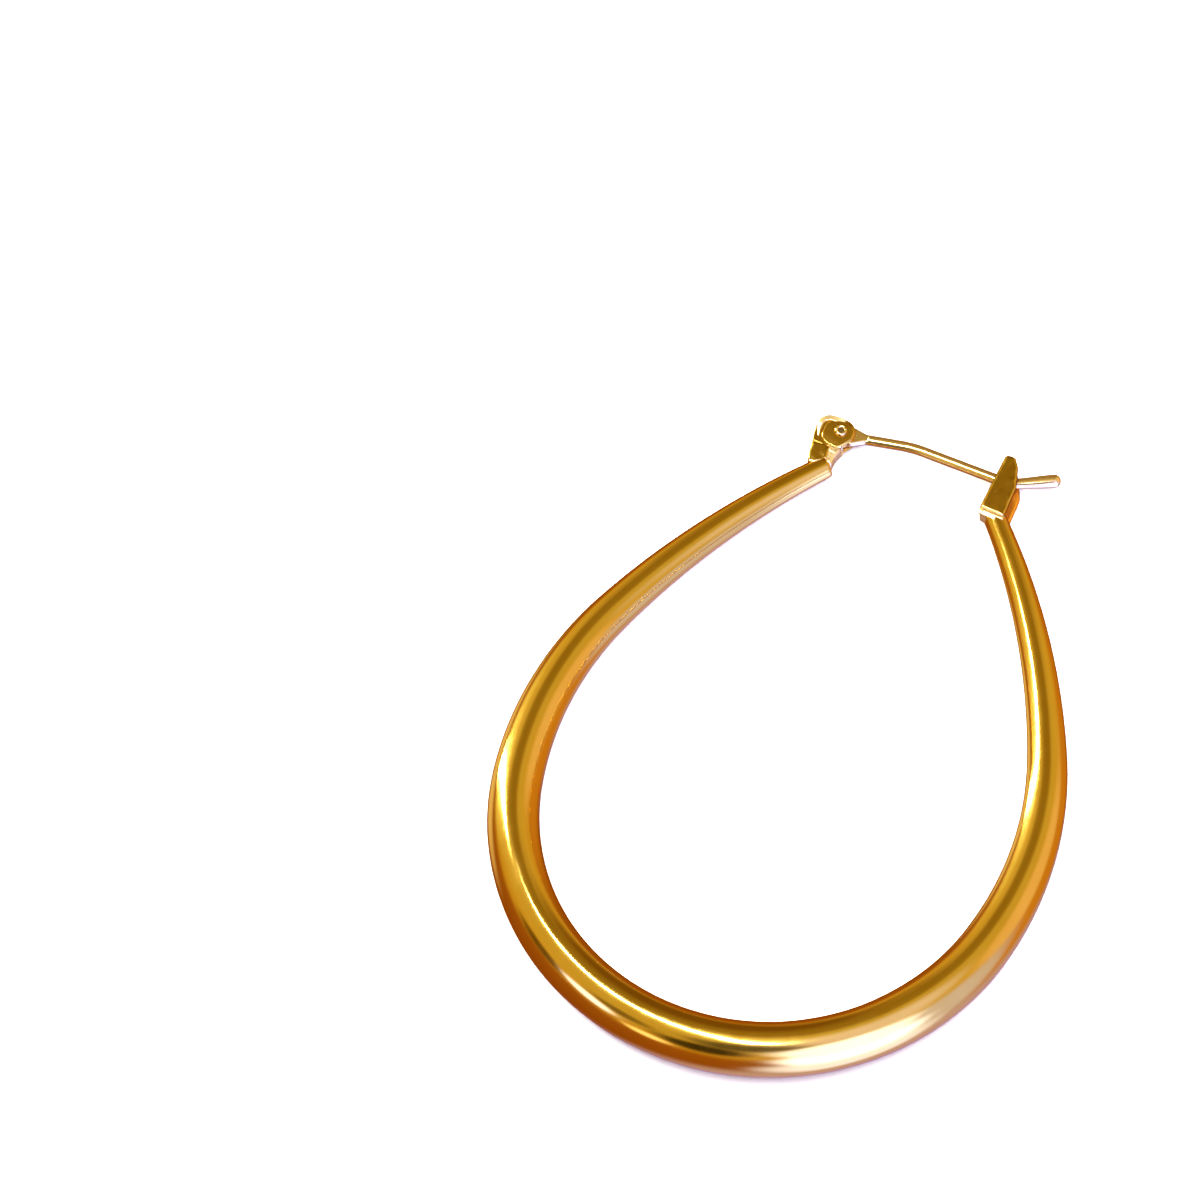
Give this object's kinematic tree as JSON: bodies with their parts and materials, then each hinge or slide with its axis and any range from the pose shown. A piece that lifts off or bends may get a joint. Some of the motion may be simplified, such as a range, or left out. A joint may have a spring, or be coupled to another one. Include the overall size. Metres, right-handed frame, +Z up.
{
  "type": "hoop earring",
  "caption": "Teardrop hoop earring: hollow tapered tube with a hinged ear wire that clicks into a folded catch.",
  "frame": {"origin": "on the surface that the earring lies on, under the middle of its bounding box", "axes": "+Z up from the surface, +Y along the earring from the bowl to the closure, +X from the hinge side to the catch side"},
  "size_m": [0.0384, 0.0504, 0.005],
  "materials": {
    "hoop_gold": "polished gold plating",
    "wire_gold": "polished gold plating",
    "rivet_gold": "polished gold plating"
  },
  "bodies": {
    "hoop": {"hoop": "hoop_gold", "hinge_rivet": "rivet_gold"},
    "ear_wire": {"ear_wire": "wire_gold"}
  },
  "joints": [
    {"name": "wire_hinge", "type": "hinge", "parent": "hoop", "child": "ear_wire", "pos_m": [-0.00635, 0.02277, 0.00106], "axis": [0, 0.0352, 0.9994], "range_deg": [0, 90]}
  ]
}
